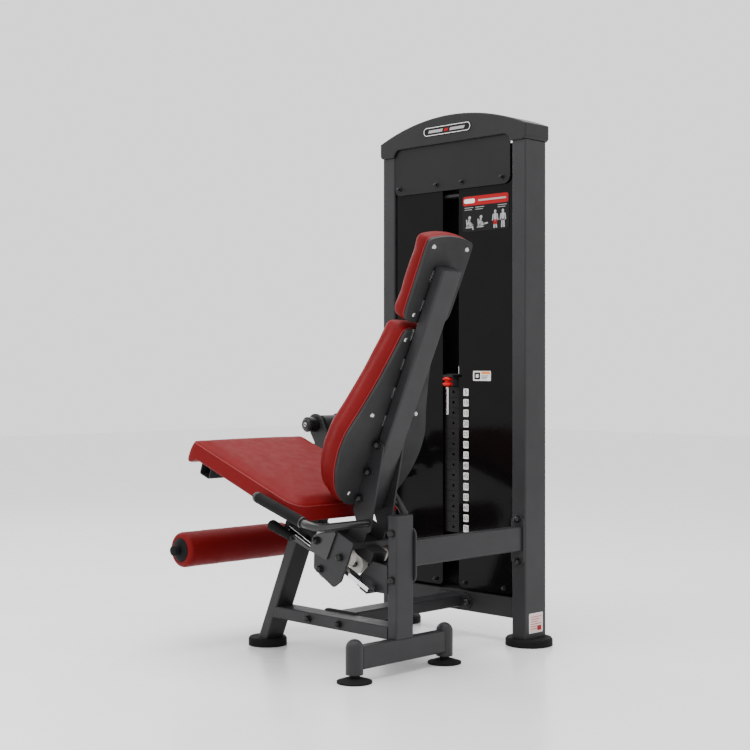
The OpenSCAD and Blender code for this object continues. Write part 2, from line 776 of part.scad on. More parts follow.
module side_handle() {
  color(black_c) in_seat() sloped(125, 452, handle_slope) {
    // lateral run into the cheek plate
    rod_x(handle_x + handle_bend, -cheek_x - 6, 12);
    translate([handle_x + handle_bend, handle_bend, 0]) rotate([0, 0, 180])
      rotate_extrude(angle = 90) translate([handle_bend, 0]) circle(12);
    translate([handle_x, 0, 0]) rod_y(handle_bend, handle_bend + 5, 12);
    translate([handle_x, 0, 0]) rod_y(handle_bend + 5, 268, 17);
    translate([handle_x, 268, 0]) sphere(17);
  }
}
module back_post() {
  color(frame_c) in_seat() on_back() {
    translate([0, back_t / 2, 0]) linear_extrude(back_l - 3) tube_shape(2 * cheek_x, back_t);
    translate([0, back_t / 2, back_l - 3]) linear_extrude(3) rrect(2 * cheek_x, back_t, 6);
    // tabs that carry the pad boards
    for (i = [0:7]) translate([-34, back_t, 80 + i * 95]) cube([68, 6, 36]);
  }
}
// half widths of the backrest board up its height
back_half = [[-4, 78], [18, 112], [50, 140], [110, 166], [177, 176], [242, 170], [320, 138], [420, 104], [520, 78], [588, 62]];
module back_outline(inset) {
  polygon(concat(
    [for (p = back_half) [p[1] - inset, p[0]]],
    [for (i = [len(back_half) - 1:-1:0]) [-back_half[i][1] + inset, back_half[i][0]]]
  ));
}
module back_pad() {
  color(red_c) in_seat() on_back() {
    plate_y(board_n, 12) back_outline(0);
    plate_y(board_n + 12, 90) back_outline(0);
  }
}
// the head pad's top edge is arched
module head_outline() {
  intersection() {
    translate([6, 750]) rrect(192, 276, 28);
    translate([6, 592]) circle(296, $fn = 120);
  }
}
module head_pad() {
  color(red_c) in_seat() on_back() {
    plate_y(board_n, 12) head_outline();
    plate_y(board_n + 12, 58) head_outline();
  }
}
module pad_screws() {
  color(steel_c) in_seat() on_back() {
    for (p = [[56, 555], [95, 306], [84, 38]], s = [-1, 1])
      translate([s * p[0], board_n, p[1]]) rotate([90, 0, 0]) cylinder(h = 4, r1 = 8, r2 = 5);
    for (p = [[72, 852], [62, 636]], s = [-1, 1])
      translate([6 + s * p[0], board_n, p[1]]) rotate([90, 0, 0]) cylinder(h = 4, r1 = 8, r2 = 5);
  }
}

// ---------- knee lever ----------
module knee_housing() {
  color(black_c) in_seat() translate([0, knee_y, knee_z]) {
    ring_x(288, 352, housing_r, shaft_r + 0.06);
    rod_x(282, 288, 22);
    ring_x(bracket_x[1] - 10, bracket_x[1] + 20, housing_r, shaft_r + 0.06);
  }
}
module knee_lever() {
  color(frame_c) in_seat() {
    translate([0, knee_y, knee_z]) {
      rod_x(288.5, side_x + 16, shaft_r);
      // hub, arm and cable sector
      ring_x(354, 424, 32, shaft_r);
      ring_x(side_x - 13, side_x + 14, 32, shaft_r);
      rotate([lever_lean, 0, 0]) difference() {
        translate([356, -25, -lever_l - 30]) cube([28, 50, lever_l + 30]);
        rod_x(300, 480, 32);
        translate([0, 0, -lever_l]) rod_x(300, 480, 12.5);
      }
      difference() {
        union() {
          sector_plate(side_x - 10, 5, sector_r + 8);
          sector_plate(side_x - 5, 10, sector_r - cable_r);
          sector_plate(side_x + 5, 5, sector_r + 8);
        }
        rod_x(side_x - 20, side_x + 20, 32);
      }
      // end fitting of the cable in the groove
      rotate([4, 0, 0]) translate([side_x, 0, -sector_r]) rod_y(1.5, 20, 4.9);
    }
    // axle of the shin roller with its end knob
    translate([0, shin_y, shin_z]) {
      rod_x(-shin_l / 2 - 12, 386, 12.5);
      rod_x(-shin_l / 2 - 30, -shin_l / 2 - 12, 16);
      rod_x(shin_l / 2 + 8, shin_l / 2 + 20, 20);
    }
  }
}
module sector_plate(x, t, r) {
  plate_x(x, t) intersection() {
    circle(r, $fn = 120);
    polygon([[0, 20], [-260, 0], [-170, -260], [170, -260], [40, 0]]);
  }
}
module shin_roller() {
  color(red_c) in_seat() translate([0, shin_y, shin_z]) {
    ring_x(-shin_l / 2, shin_l / 2, shin_d / 2, 12.56);
    ring_x(-shin_l / 2 - 10, -shin_l / 2, 36, 12.56);
    ring_x(shin_l / 2, shin_l / 2 + 6, 36, 12.56);
  }
}

tower_post_rear();
tower_post_front();
tower_cross_tubes();
rubber_feet();
tower_cap();
cap_badge();
header_panel();
front_shrouds();
rear_shroud();
plate_labels();
guide_placard();
notice_sticker();
guide_rods();
stack_buffers();
weight_plates();
head_plate();
head_bushes();
selector_stem();
selector_pin();
lift_cable_drop();
lift_cable_run();
top_hangers();
top_pulley_outer();
top_pulley_inner();
entry_pulley();
pulley_brackets();
side_pulley();
upper_beam();
lower_beam();
beam_flanges();
beam_bolts();
panel_bolts();
rear_post();
stabilizer();
stabilizer_posts();
levelling_feet();
side_beam();
front_leg();
seat_frame();
seat_cross_tube();
knee_brackets();
seat_pad();
carriage_rails();
rail_brackets();
carriage_plates();
carriage_bridge();
cheek_plates();
carriage_axles();
front_rollers();
rear_rollers();
lower_rollers();
release_lever();
side_handle();
back_post();
back_pad();
head_pad();
pad_screws();
knee_housing();
knee_lever();
shin_roller();
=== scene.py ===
import bpy, bmesh, math
import numpy as np
from mathutils import Matrix, Vector
from mathutils.bvhtree import BVHTree


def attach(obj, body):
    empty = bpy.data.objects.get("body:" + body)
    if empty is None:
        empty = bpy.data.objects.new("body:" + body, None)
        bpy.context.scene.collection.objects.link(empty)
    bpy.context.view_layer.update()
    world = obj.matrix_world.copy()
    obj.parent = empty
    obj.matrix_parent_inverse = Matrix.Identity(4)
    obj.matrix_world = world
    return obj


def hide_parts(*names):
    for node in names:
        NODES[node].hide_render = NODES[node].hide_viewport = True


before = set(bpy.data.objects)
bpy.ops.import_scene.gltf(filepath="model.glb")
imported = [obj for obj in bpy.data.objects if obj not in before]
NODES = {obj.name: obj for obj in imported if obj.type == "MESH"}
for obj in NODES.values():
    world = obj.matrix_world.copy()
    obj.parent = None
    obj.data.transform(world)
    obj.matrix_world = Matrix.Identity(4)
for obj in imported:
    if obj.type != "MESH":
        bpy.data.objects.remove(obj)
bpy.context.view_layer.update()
MM = 0.001
# the seat's mid-plane and the tower's face, as in the CAD, in mm
SEAT_X, TOWER_X, BASE_Y = -204.0, 361.0, -353.2
scene = bpy.context.scene


# ---------- frames ----------
def sloped(y, z, angle, x0=SEAT_X):
    """Local frame of the CAD: x across, y along the slope, z off it, all in mm."""
    place = Matrix.Translation(Vector((x0, BASE_Y + y, z)) * MM)
    return place @ Matrix.Rotation(math.radians(angle), 4, "X") @ Matrix.Scale(MM, 4)


SEAT = sloped(735, 690, 19.8)
BACK = sloped(143.8, 490, 24.6)
RAIL = sloped(283, 341, 24)
TOWER = sloped(0, 0, 0, TOWER_X)
HANDLE = sloped(125, 452, 16.7)
# u across, v up the post, w off its front face
BACK_FACE = BACK @ Matrix(((1, 0, 0, 0), (0, 0, 1, 0), (0, 1, 0, 0), (0, 0, 0, 1)))
# u towards -y, v up, w out of the tower's seat side
TOWER_FACE = TOWER @ Matrix(((0, 0, -1, 0), (-1, 0, 0, 0), (0, 1, 0, 0), (0, 0, 0, 1)))


# ---------- materials ----------
def new_material(name, color, rough, metallic=0.0, **sockets):
    m = bpy.data.materials.new(name)
    m.use_nodes = True
    b = m.node_tree.nodes["Principled BSDF"]
    b.inputs["Base Color"].default_value = (*color, 1)
    b.inputs["Roughness"].default_value = rough
    b.inputs["Metallic"].default_value = metallic
    for k, v in sockets.items():
        b.inputs[k.replace("_", " ")].default_value = v
    return m, m.node_tree, b


def add(nt, kind, **values):
    n = nt.nodes.new(kind)
    for k, v in values.items():
        if hasattr(n, k):
            setattr(n, k, v)
        else:
            n.inputs[k.replace("_", " ")].default_value = v
    return n


def coords(nt):
    return add(nt, "ShaderNodeTexCoord").outputs["Object"]


def noise(nt, scale, detail=3.0, rough=0.55, stretch=None):
    n = add(nt, "ShaderNodeTexNoise", Scale=scale, Detail=detail, Roughness=rough)
    src = coords(nt)
    if stretch:
        mp = add(nt, "ShaderNodeMapping", Scale=stretch)
        nt.links.new(src, mp.inputs["Vector"])
        src = mp.outputs["Vector"]
    nt.links.new(src, n.inputs["Vector"])
    return n.outputs["Fac"]


def ramp(nt, fac, stops):
    r = add(nt, "ShaderNodeValToRGB")
    el = r.color_ramp.elements
    while len(el) < len(stops):
        el.new(0.5)
    for e, (p, c) in zip(el, stops):
        e.position = p
        e.color = (*c, 1) if len(c) == 3 else c
    nt.links.new(fac, r.inputs["Fac"])
    return r.outputs["Color"]


def span(nt, fac, low, high):
    r = add(nt, "ShaderNodeMapRange", From_Min=0.3, From_Max=0.7, To_Min=low, To_Max=high)
    nt.links.new(fac, r.inputs["Value"])
    return r.outputs["Result"]


def bump(nt, bsdf, layers, soften=0.0):
    """layers are (height socket, distance in m, strength); soften rounds hard edges by that radius."""
    normal = None
    if soften:
        normal = add(nt, "ShaderNodeBevel", samples=4, Radius=soften).outputs["Normal"]
    for height, dist, strength in layers:
        b = add(nt, "ShaderNodeBump", Distance=dist, Strength=strength)
        nt.links.new(height, b.inputs["Height"])
        if normal:
            nt.links.new(normal, b.inputs["Normal"])
        normal = b.outputs["Normal"]
    if normal:
        nt.links.new(normal, bsdf.inputs["Normal"])


def shade(color, k):
    return tuple(min(1.0, c * k) for c in color)


def coated(name, color, rough, grain=900.0, depth=0.00012, soften=0.0012, metallic=0.0, spread=0.12, **kw):
    """Painted or moulded surface: fine orange peel, faint cloudy tone and uneven gloss."""
    m, nt, b = new_material(name, color, rough, metallic, **kw)
    cloud = noise(nt, 7.0, 4.0)
    tones = [(0.3, shade(color, 1 - spread)), (0.7, shade(color, 1 + spread))]
    nt.links.new(ramp(nt, cloud, tones), b.inputs["Base Color"])
    nt.links.new(span(nt, noise(nt, 23.0, 5.0), rough * 0.88, min(1.0, rough * 1.14)), b.inputs["Roughness"])
    bump(nt, b, [(noise(nt, grain, 2.0), depth, 0.35)], soften)
    return m


def vinyl(name, color):
    """Upholstery vinyl: pebbled grain with painted shade in the grooves between pebbles, soft wrinkles,
    slightly worn gloss.
    """
    m, nt, b = new_material(name, color, 0.5)
    b.inputs["Specular IOR Level"].default_value = 0.08
    grain = add(nt, "ShaderNodeTexVoronoi", feature="DISTANCE_TO_EDGE", Scale=620.0)
    nt.links.new(coords(nt), grain.inputs["Vector"])
    pebble = ramp(nt, grain.outputs["Distance"], [(0.0, (0, 0, 0)), (0.35, (1, 1, 1))])
    tone = noise(nt, 9.0, 5.0)
    base = ramp(nt, tone, [(0.28, shade(color, 0.93)), (0.72, shade(color, 1.06))])
    mix = add(nt, "ShaderNodeMix", data_type="RGBA", blend_type="MULTIPLY")
    mix.inputs["Factor"].default_value = 0.3
    nt.links.new(base, mix.inputs[6])
    # painted shade: the base colour is darkened in the grooves between the pebbles
    pebble_gap_shade = [(0.0, (0.35, 0.3, 0.3)), (0.2, (1, 1, 1))]
    nt.links.new(ramp(nt, grain.outputs["Distance"], pebble_gap_shade), mix.inputs[7])
    nt.links.new(mix.outputs[2], b.inputs["Base Color"])
    nt.links.new(span(nt, noise(nt, 31.0, 4.0), 0.44, 0.58), b.inputs["Roughness"])
    bump(nt, b, [(noise(nt, 14.0, 3.0), 0.0016, 0.28), (pebble, 0.00022, 0.3)])
    return m


def metal(name, color, rough, stretch=(4, 300, 300), soften=0.0008):
    m, nt, b = new_material(name, color, rough, 1.0)
    lines = noise(nt, 6.0, 4.0, stretch=stretch)
    nt.links.new(span(nt, lines, rough * 0.7, rough * 1.5), b.inputs["Roughness"])
    nt.links.new(ramp(nt, noise(nt, 12.0), [(0.3, shade(color, 0.9)), (0.7, color)]), b.inputs["Base Color"])
    bump(nt, b, [(lines, 0.00004, 0.15)], soften)
    return m


GRAPHITE = (0.021, 0.021, 0.0225)
MAT = {
    "frame": coated("graphite_powder", GRAPHITE, 0.42, grain=1300.0, depth=0.0002, soften=0.003,
                    Specular_IOR_Level=0.24),
    "cap": coated("cap_powder", (0.012, 0.012, 0.0128), 0.36, grain=1300.0, depth=0.0002, soften=0.008,
                  Specular_IOR_Level=0.22),
    "gloss": coated("shroud_gloss", (0.003, 0.003, 0.003), 0.1, grain=60.0, depth=0.0003, spread=0.2,
                    Specular_IOR_Level=0.1),
    "satin": coated("panel_satin", (0.007, 0.007, 0.0075), 0.4, grain=1100.0, Specular_IOR_Level=0.2),
    "rubber": coated("rubber_black", (0.006, 0.006, 0.006), 0.72, Specular_IOR_Level=0.12, grain=500.0,
                     depth=0.0004, spread=0.25),
    "stack": coated("stack_paint", (0.006, 0.006, 0.006), 0.42, Specular_IOR_Level=0.25, grain=700.0,
                    depth=0.0003),
    "plastic": coated("plastic_black", (0.008, 0.008, 0.008), 0.26, Specular_IOR_Level=0.3, grain=900.0),
    "nylon": coated("nylon_white", (0.5, 0.48, 0.44), 0.4, grain=500.0, spread=0.06,
                    Subsurface_Weight=0.1, Subsurface_Scale=0.004),
    "red_knob": coated("knob_red", (0.5, 0.003, 0.004), 0.22, grain=200.0, spread=0.08,
                       Specular_IOR_Level=0.3),
    "handle": coated("handle_satin", (0.016, 0.016, 0.017), 0.22, Specular_IOR_Level=0.45, grain=1000.0),
    "housing": coated("housing_black", (0.008, 0.008, 0.008), 0.26, Specular_IOR_Level=0.35, grain=900.0),
    "board": coated("board_grey", (0.022, 0.022, 0.023), 0.6, Specular_IOR_Level=0.2, grain=300.0,
                    depth=0.0006, spread=0.2),
    "cable": coated("cable_coat", (0.02, 0.02, 0.02), 0.35, grain=800.0),
    "label": coated("label_white", (0.72, 0.72, 0.7), 0.45, grain=600.0, spread=0.05, soften=0.0),
    "ink": coated("ink_black", (0.003, 0.003, 0.003), 0.4, Specular_IOR_Level=0.15, grain=600.0, soften=0.0),
    "print_red": coated("print_red", (0.3, 0.004, 0.006), 0.32, Specular_IOR_Level=0.15, grain=600.0,
                        spread=0.06, soften=0.0),
    "print_grey": coated("print_grey", (0.3, 0.3, 0.3), 0.4, grain=600.0, spread=0.06, soften=0.0),
    "print_orange": coated("print_orange", (0.8, 0.22, 0.03), 0.4, grain=600.0, spread=0.06, soften=0.0),
    "print_pink": coated("print_pink", (0.66, 0.5, 0.48), 0.45, grain=600.0, spread=0.08, soften=0.0),
    "chrome": metal("chrome_rod", (0.78, 0.78, 0.8), 0.1),
    "zinc": metal("zinc_screw", (0.5, 0.5, 0.5), 0.22, stretch=(200, 200, 200)),
    "vinyl": vinyl("vinyl_red", (0.145, 0.0042, 0.0052)),
    # painted highlight: the piping is the vinyl's red made lighter, to show a bright line along the pad edges
    "piping": coated("piping_red_painted_highlight", (0.2, 0.011, 0.012), 0.42, grain=400.0, depth=0.0004,
                     Specular_IOR_Level=0.3),
}


def paint(key, *names):
    for n in names:
        o = NODES[n]
        if not o.material_slots:
            o.data.materials.append(MAT[key])
        for s in o.material_slots:
            s.material = MAT[key]


paint("frame", "tower_post_rear", "tower_post_front", "tower_cross_tubes", "top_hangers", "pulley_brackets",
      "upper_beam", "lower_beam", "beam_flanges", "rear_post", "stabilizer", "stabilizer_posts", "side_beam",
      "front_leg", "seat_frame", "seat_cross_tube", "knee_brackets", "rail_brackets", "carriage_plates",
      "carriage_bridge", "cheek_plates", "back_post", "knee_lever")
paint("cap", "tower_cap")
paint("ink", "cap_badge", "guide_placard")
paint("plastic", "beam_bolts", "panel_bolts", "carriage_axles",
      "top_pulley_outer", "top_pulley_inner", "entry_pulley", "side_pulley")
paint("gloss", "front_shrouds")
paint("satin", "header_panel", "rear_shroud")
paint("label", "plate_labels", "notice_sticker")
paint("chrome", "guide_rods", "selector_stem", "carriage_rails")
paint("rubber", "rubber_feet", "levelling_feet", "stack_buffers")
paint("stack", "weight_plates", "head_plate")
paint("nylon", "head_bushes", "front_rollers", "rear_rollers", "lower_rollers")
paint("cable", "lift_cable_drop", "lift_cable_run")
paint("red_knob", "selector_pin")
paint("handle", "side_handle", "release_lever")
paint("zinc", "pad_screws")
paint("housing", "knee_housing")


# ---------- mesh helpers ----------
def to_object(name, bm, mat, place, body, smooth=True):
    bmesh.ops.transform(bm, matrix=place, verts=bm.verts)
    bmesh.ops.recalc_face_normals(bm, faces=bm.faces)
    me = bpy.data.meshes.new(name)
    bm.to_mesh(me)
    bm.free()
    o = bpy.data.objects.new(name, me)
    scene.collection.objects.link(o)
    me.materials.append(MAT[mat])
    for p in me.polygons:
        p.use_smooth = smooth
    if body:
        finish_piece(o, body)
    return o


def finish_piece(o, body):
    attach(o, body)


def prism(outline, w0, w1):
    bm = bmesh.new()
    low = [bm.verts.new((u, v, w0)) for u, v in outline]
    top = [bm.verts.new((u, v, w1)) for u, v in outline]
    bm.faces.new(low[::-1])
    bm.faces.new(top)
    n = len(outline)
    for i in range(n):
        bm.faces.new((low[i], low[(i + 1) % n], top[(i + 1) % n], top[i]))
    return bm


def slab(name, outline, w0, w1, mat, place, body, edge=1.0):
    """Flat piece with rounded rims."""
    bm = prism(outline, w0, w1)
    o = to_object(name, bm, mat, place, None, smooth=False)
    if edge:
        b = o.modifiers.new("rim", "BEVEL")
        b.width = edge * MM
        b.segments = 3
        b.limit_method = "ANGLE"
        b.angle_limit = math.radians(50)
    finish_piece(o, body)
    return o


def lathe(name, profile, mat, place, body, steps=64):
    """profile is (radius, height) along the local Z."""
    bm = bmesh.new()
    rings = []
    for r, h in profile:
        if r <= 1e-6:
            rings.append([bm.verts.new((0, 0, h))])
        else:
            turns = [2 * math.pi * i / steps for i in range(steps)]
            rings.append([bm.verts.new((r * math.cos(a), r * math.sin(a), h)) for a in turns])
    for a, b in zip(rings, rings[1:]):
        for i in range(steps):
            j = (i + 1) % steps
            if len(a) == 1 and len(b) > 1:
                bm.faces.new((a[0], b[i], b[j]))
            elif len(b) == 1 and len(a) > 1:
                bm.faces.new((a[i], b[0], a[j]))
            elif len(a) > 1:
                bm.faces.new((a[i], b[i], b[j], a[j]))
    return to_object(name, bm, mat, place, body)


def rounded(w, h, r, cu=0.0, cv=0.0, n=8):
    pts = []
    for k, (sx, sy) in enumerate(((1, 1), (-1, 1), (-1, -1), (1, -1))):
        for i in range(n + 1):
            a = math.pi / 2 * (k + i / n)
            pts.append((cu + sx * (w / 2 - r) + r * math.cos(a), cv + sy * (h / 2 - r) + r * math.sin(a)))
    return pts


def resample(outline, step):
    """The same closed outline with points about step apart."""
    pts = [Vector(p) for p in outline]
    out = []
    for a, b in zip(pts, pts[1:] + pts[:1]):
        k = max(1, round((b - a).length / step))
        out += [a.lerp(b, i / k) for i in range(k)]
    return out


def smooth_loop(outline, step, rounds):
    pts = resample(outline, step)
    for _ in range(rounds):
        pts = [(pts[i - 1] + pts[i] * 2 + pts[(i + 1) % len(pts)]) / 4 for i in range(len(pts))]
    return pts


def inset(outline, d):
    pts = [Vector(p) for p in outline]
    area = sum(a.x * b.y - b.x * a.y for a, b in zip(pts, pts[1:] + pts[:1]))
    side = 1 if area > 0 else -1
    out = []
    for i, p in enumerate(pts):
        t = pts[(i + 1) % len(pts)] - pts[i - 1]
        t.normalize()
        out.append((p.x - side * t.y * d, p.y + side * t.x * d))
    return out


# ---------- cushions ----------
def cushion(name, outline, w0, w1, place, body, cap, crown, rim, voxel=6.0, bulge=1.5, form=None):
    """Foam pad: outline in u, v; w0 is the board side. Crowned, then inflated as cloth with its back held."""
    pts = smooth_loop(outline, 12.0, 2)
    levels = [(w0, 0.0), (w0 + (w1 - w0) * 0.4, -bulge), (w1 - rim, -bulge * 0.6),
              (w1 - rim * 0.3, rim * 0.32), (w1, rim)]
    bm = bmesh.new()
    loops = []
    for w, d in levels:
        loops.append([bm.verts.new((u, v, w)) for u, v in inset(pts, d)])
    n = len(pts)
    for a, b in zip(loops, loops[1:]):
        for i in range(n):
            bm.faces.new((a[i], a[(i + 1) % n], b[(i + 1) % n], b[i]))
    bm.faces.new(loops[0][::-1])
    bm.faces.new(loops[-1])
    o = to_object(name, bm, "vinyl", Matrix.Scale(MM, 4), None)
    bpy.context.view_layer.objects.active = o
    rm = o.modifiers.new("remesh", "REMESH")
    rm.mode = "VOXEL"
    rm.voxel_size = voxel * MM
    apply_modifiers(o)
    smooth = o.modifiers.new("smooth", "SMOOTH")
    smooth.iterations = 4
    apply_modifiers(o)
    me = o.data
    rest = [v.co.copy() for v in me.vertices]
    held = o.vertex_groups.new(name="held")
    for v in me.vertices:
        above = (v.co.z / MM - w0) / (w1 - w0)
        held.add([v.index], max(0.0, min(1.0, 1.15 - 2.2 * above)), "REPLACE")
    cl = o.modifiers.new("cloth", "CLOTH")
    cl.settings.quality = 4
    cl.settings.mass = 0.3
    cl.settings.tension_stiffness = 12
    cl.settings.compression_stiffness = 12
    cl.settings.bending_stiffness = 0.8
    cl.settings.vertex_group_mass = "held"
    cl.settings.use_pressure = True
    cl.settings.uniform_pressure_force = 4
    cl.settings.effector_weights.gravity = 0
    cl.point_cache.frame_start = 1
    cl.point_cache.frame_end = 20
    for f in range(1, 21):
        scene.frame_set(f)
    dg = bpy.context.evaluated_depsgraph_get()
    moved = [v.co.copy() for v in o.evaluated_get(dg).data.vertices]
    o.modifiers.clear()
    scene.frame_set(1)
    # the foam behind the cover evens out the cloth's small dents
    swell = np.array([q - r for q, r in zip(moved, rest)])
    edges = np.array([e.vertices[:] for e in me.edges])
    count = np.bincount(edges.ravel(), minlength=len(rest))[:, None]
    for _ in range(30):
        total = np.zeros_like(swell)
        np.add.at(total, edges[:, 0], swell[edges[:, 1]])
        np.add.at(total, edges[:, 1], swell[edges[:, 0]])
        swell = 0.5 * swell + 0.5 * total / count
    for v, r, d in zip(me.vertices, rest, swell):
        d = Vector(d)
        if d.length > cap * MM:
            d *= cap * MM / d.length
        v.co = r + d
    # the foam's own crown over the middle of the pad
    us, vs = [p[0] for p in outline], [p[1] for p in outline]
    cu, cv = (max(us) + min(us)) / 2, (max(vs) + min(vs)) / 2
    hu, hv = (max(us) - min(us)) / 2, (max(vs) - min(vs)) / 2
    for v in me.vertices:
        top = max(0.0, min(1.0, (v.co.z / MM - w0) / (w1 - w0)))
        a = max(0.0, 1 - ((v.co.x / MM - cu) / hu) ** 2) * max(0.0, 1 - ((v.co.y / MM - cv) / hv) ** 2)
        v.co.z += crown * MM * top * math.sqrt(a)
        if form:
            v.co = form(v.co / MM) * MM
    me.transform(place @ Matrix.Scale(1 / MM, 4))
    me.update()
    ease = o.modifiers.new("ease", "SMOOTH")
    ease.iterations = 10
    apply_modifiers(o)
    me = o.data
    sub = o.modifiers.new("round", "SUBSURF")
    sub.levels = sub.render_levels = 1
    for p in me.polygons:
        p.use_smooth = True
    finish_piece(o, body)
    return o


def apply_modifiers(o):
    dg = bpy.context.evaluated_depsgraph_get()
    me = bpy.data.meshes.new_from_object(o.evaluated_get(dg))
    o.modifiers.clear()
    o.data = me


def piping(name, pad, outline, w, place, body, radius):
    """Welt laid on the pad's side wall at height w."""
    tree = BVHTree.FromObject(pad, bpy.context.evaluated_depsgraph_get())
    to_local = pad.matrix_world.inverted()
    pts = smooth_loop(outline, 14.0, 2)
    out = inset(pts, -60.0)
    inn = inset(pts, 60.0)
    line = []
    for (ou, ov), (iu, iv) in zip(out, inn):
        a = to_local @ (place @ Vector((ou, ov, w)))
        b = to_local @ (place @ Vector((iu, iv, w)))
        hit = tree.ray_cast(a, (b - a).normalized(), (b - a).length)[0]
        if hit is not None:
            line.append(pad.matrix_world @ hit)
    # the piping material is lighter than the vinyl, a painted highlight along the welt
    return tube(name, line, radius, "piping", body)


def tube(name, points, radius, mat, body, steps=12):
    """Round tube through a closed loop of world points."""
    bm = bmesh.new()
    n = len(points)
    rings = []
    up = Vector((0.31, 0.17, 0.93)).normalized()
    for i, p in enumerate(points):
        t = (points[(i + 1) % n] - points[i - 1]).normalized()
        side = t.cross(up).normalized()
        other = side.cross(t)
        rings.append([bm.verts.new(p + (side * math.cos(q) + other * math.sin(q)) * radius * MM)
                      for q in (2 * math.pi * k / steps for k in range(steps))])
    for i in range(n):
        a, b = rings[i], rings[(i + 1) % n]
        for k in range(steps):
            bm.faces.new((a[k], a[(k + 1) % steps], b[(k + 1) % steps], b[k]))
    return to_object(name, bm, mat, Matrix.Identity(4), body)


def seat_outline(w, l, rf, rr):
    front, rear = 28.0, 28.0 - l
    pts = []
    for k, (sx, y, r) in enumerate(((1, front, rf), (-1, front, rf), (-1, rear, rr), (1, rear, rr))):
        sy = 1 if y == front else -1
        for i in range(9):
            a = math.pi / 2 * (k + i / 8)
            pts.append((sx * (w / 2 - r) + r * math.cos(a), y - sy * r + r * math.sin(a)))
    return pts


SEAT_PTS = seat_outline(498, 564, 26, 62)


def bull_nose(p):
    """The seat's front edge rolls forward and down over the board."""
    k = max(0.0, min(1.0, (p.y + 26) / 34))
    k = k * k * (3 - 2 * k)
    low = max(0.0, min(1.0, (-p.z - 12) / 40))
    swell = math.sin(math.pi * max(0.0, min(1.0, (-p.z) / 75)))
    return Vector((p.x, p.y + 3 * k * swell, p.z - 23 * k * low))


seat = cushion("seat_cushion", SEAT_PTS, -58, -2, SEAT, "root", cap=9, crown=6, rim=8, form=bull_nose)
slab("seat_board", inset(SEAT_PTS, 22), -60, -52, "board", SEAT, "root", 2)
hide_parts("seat_pad")
piping("seat_piping", seat, SEAT_PTS, -9, SEAT, "root", 1.7)

# the back pad's height and half width, from the bottom up
BACK_HALF = ((-4, 78), (18, 112), (50, 140), (110, 166), (177, 176),
             (242, 170), (320, 138), (420, 104), (520, 78), (588, 62))
BOARD_W0, BOARD_W1 = 44, 56
BACK_PTS = [(w, v) for v, w in BACK_HALF] + [(-w, v) for v, w in reversed(BACK_HALF)]
back = cushion("back_cushion", inset(BACK_PTS, 1), BOARD_W1, 144, BACK_FACE, "carriage",
               cap=9, crown=5, rim=12, bulge=10)
slab("back_board", [tuple(p) for p in smooth_loop(BACK_PTS, 12.0, 2)], BOARD_W0, BOARD_W1, "board",
     BACK_FACE, "carriage", 2)
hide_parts("back_pad")
piping("back_piping", back, inset(BACK_PTS, 1), 61, BACK_FACE, "carriage", 2.2)


def arched(outline, cu, top, radius):
    """Outline kept under a circle, so that its top edge is arched."""
    arch = []
    for u, v in resample(outline, 10):
        rise = math.sqrt(max(0.0, radius ** 2 - (u - cu) ** 2))
        arch.append((u, min(v, top - radius + rise)))
    return arch


# middle of the head pad and the radius of its arched top
HEAD_U, HEAD_V, ARCH_R = 6, 750, 296
HEAD_PTS = arched(rounded(188, 272, 28, HEAD_U, HEAD_V), HEAD_U, 886, ARCH_R)
HEAD_BOARD_PTS = arched(rounded(192, 276, 28, HEAD_U, HEAD_V), HEAD_U, 888, ARCH_R)
head = cushion("head_cushion", HEAD_PTS, BOARD_W1, 110, BACK_FACE, "carriage",
               cap=8, crown=5, rim=10, voxel=5.0, bulge=4)
slab("head_board", [tuple(p) for p in smooth_loop(HEAD_BOARD_PTS, 8, 6)], BOARD_W0, BOARD_W1, "board",
     BACK_FACE, "carriage", 2)
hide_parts("head_pad")
piping("head_piping", head, HEAD_PTS, 61, BACK_FACE, "carriage", 2.2)

# shin roller: foam sleeve with turned ends and black end cones
SHIN_Y, SHIN_Z = 834.94, 320.38
ALONG_X = Matrix(((0, 0, 1, 0), (1, 0, 0, 0), (0, 1, 0, 0), (0, 0, 0, 1)))
SHIN = sloped(SHIN_Y, SHIN_Z, 0) @ ALONG_X
shin_pts = [(30, -226)]
for i in range(13):
    a = math.radians(90 * i / 12)
    shin_pts.append((44 + 15 * math.sin(a), -214 - 15 * math.cos(a)))
for i in range(1, 30):
    z = -214 + 428 * i / 30
    shin_pts.append((59 + 0.5 * math.sin(i * 1.7) * math.sin(i * 0.9), z))
for i in range(13):
    a = math.radians(90 - 90 * i / 12)
    shin_pts.append((44 + 15 * math.sin(a), 214 + 15 * math.cos(a)))
shin_pts.append((30, 226))
shin = lathe("shin_sleeve", shin_pts, "vinyl", SHIN, "shin_roller", 96)
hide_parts("shin_roller")
for name, s in (("shin_cap_near", -1), ("shin_cap_far", 1)):
    cone = [(13, 224), (40, 224), (41, 227), (38, 231), (26, 236), (13, 238)]
    lathe(name, [(r, s * h) for r, h in cone], "rubber", SHIN, "shin_roller")

# soft sleeve on the handle
HANDLE_X, SLEEVE_0, SLEEVE_1 = -272, 50, 268
sleeve = [(12.5, 0)]
for i in range(41):
    z = (SLEEVE_1 - SLEEVE_0) * i / 40
    sleeve.append((17.3 - (1.2 if i in (0, 40) else 0.12 * math.sin(i * 2.1)), z))
for i in range(1, 10):
    a = math.radians(10 * i)
    sleeve.append((17.0 * math.cos(a), SLEEVE_1 - SLEEVE_0 + 17.2 * math.sin(a)))
ALONG_Y = Matrix(((1, 0, 0, 0), (0, 0, 1, 0), (0, 1, 0, 0), (0, 0, 0, 1)))
SLEEVE = HANDLE @ Matrix.Translation((HANDLE_X, SLEEVE_0, 0)) @ ALONG_Y
lathe("handle_sleeve", sleeve, "rubber", SLEEVE, "carriage", 40)

